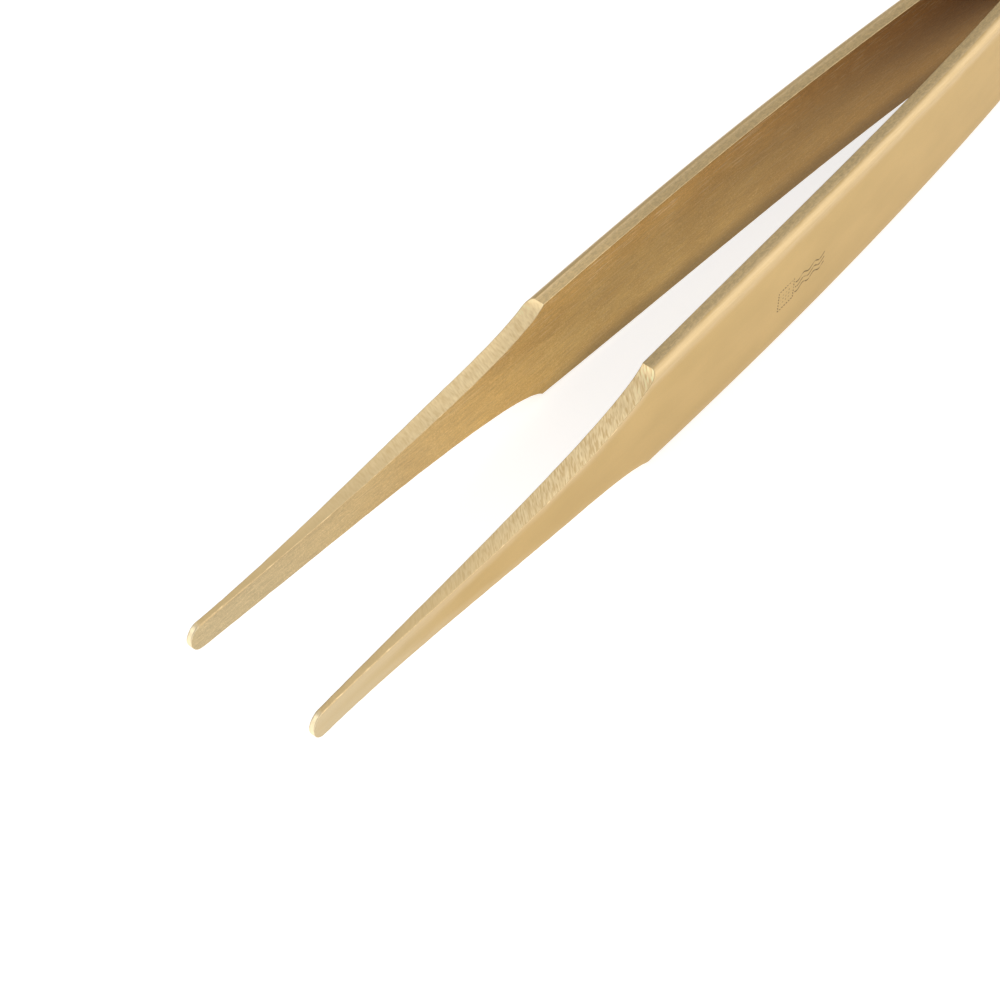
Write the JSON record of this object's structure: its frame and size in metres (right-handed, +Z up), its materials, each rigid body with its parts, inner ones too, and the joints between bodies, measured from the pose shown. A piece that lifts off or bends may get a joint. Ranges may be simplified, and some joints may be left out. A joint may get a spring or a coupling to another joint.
{
  "type": "stamp tongs",
  "caption": "Sprung stamp tongs with a pair of long tapered bits ending in narrow rounded tips, in satin gold-toned metal.",
  "frame": {"origin": "on the plane that the tongs stand on, under their middle: half way from the tips to the head's end, on the plane of symmetry between the arms", "axes": "+X from the tips to the head; +Y towards the rear arm, along the opening direction; +Z up, across the width of the arms"},
  "size_m": [0.12, 0.0122, 0.0107],
  "materials": {
    "arm_metal": "satin",
    "braze_metal": "satin"
  },
  "bodies": {
    "head": {"front_arm_tang": "arm_metal", "rear_arm_tang": "arm_metal", "head_braze": "braze_metal"},
    "front_arm": {"front_arm_blade": "arm_metal"},
    "rear_arm": {"rear_arm_blade": "arm_metal"}
  },
  "joints": [
    {"name": "front_arm_squeeze", "type": "hinge", "parent": "head", "child": "front_arm", "pos_m": [0.0335, -0.00221, 0.00534], "axis": [0, 0, -1], "range_deg": [0, 3.2], "stiffness_Nm_per_rad": 2.2},
    {"name": "rear_arm_squeeze", "type": "hinge", "parent": "head", "child": "rear_arm", "pos_m": [0.0335, 0.00221, 0.00534], "axis": [0, 0, 1], "range_deg": [0, 3.2], "stiffness_Nm_per_rad": 2.2}
  ],
  "couplings": [
    {"joint": "rear_arm_squeeze", "follows": "front_arm_squeeze", "ratio": 1}
  ]
}
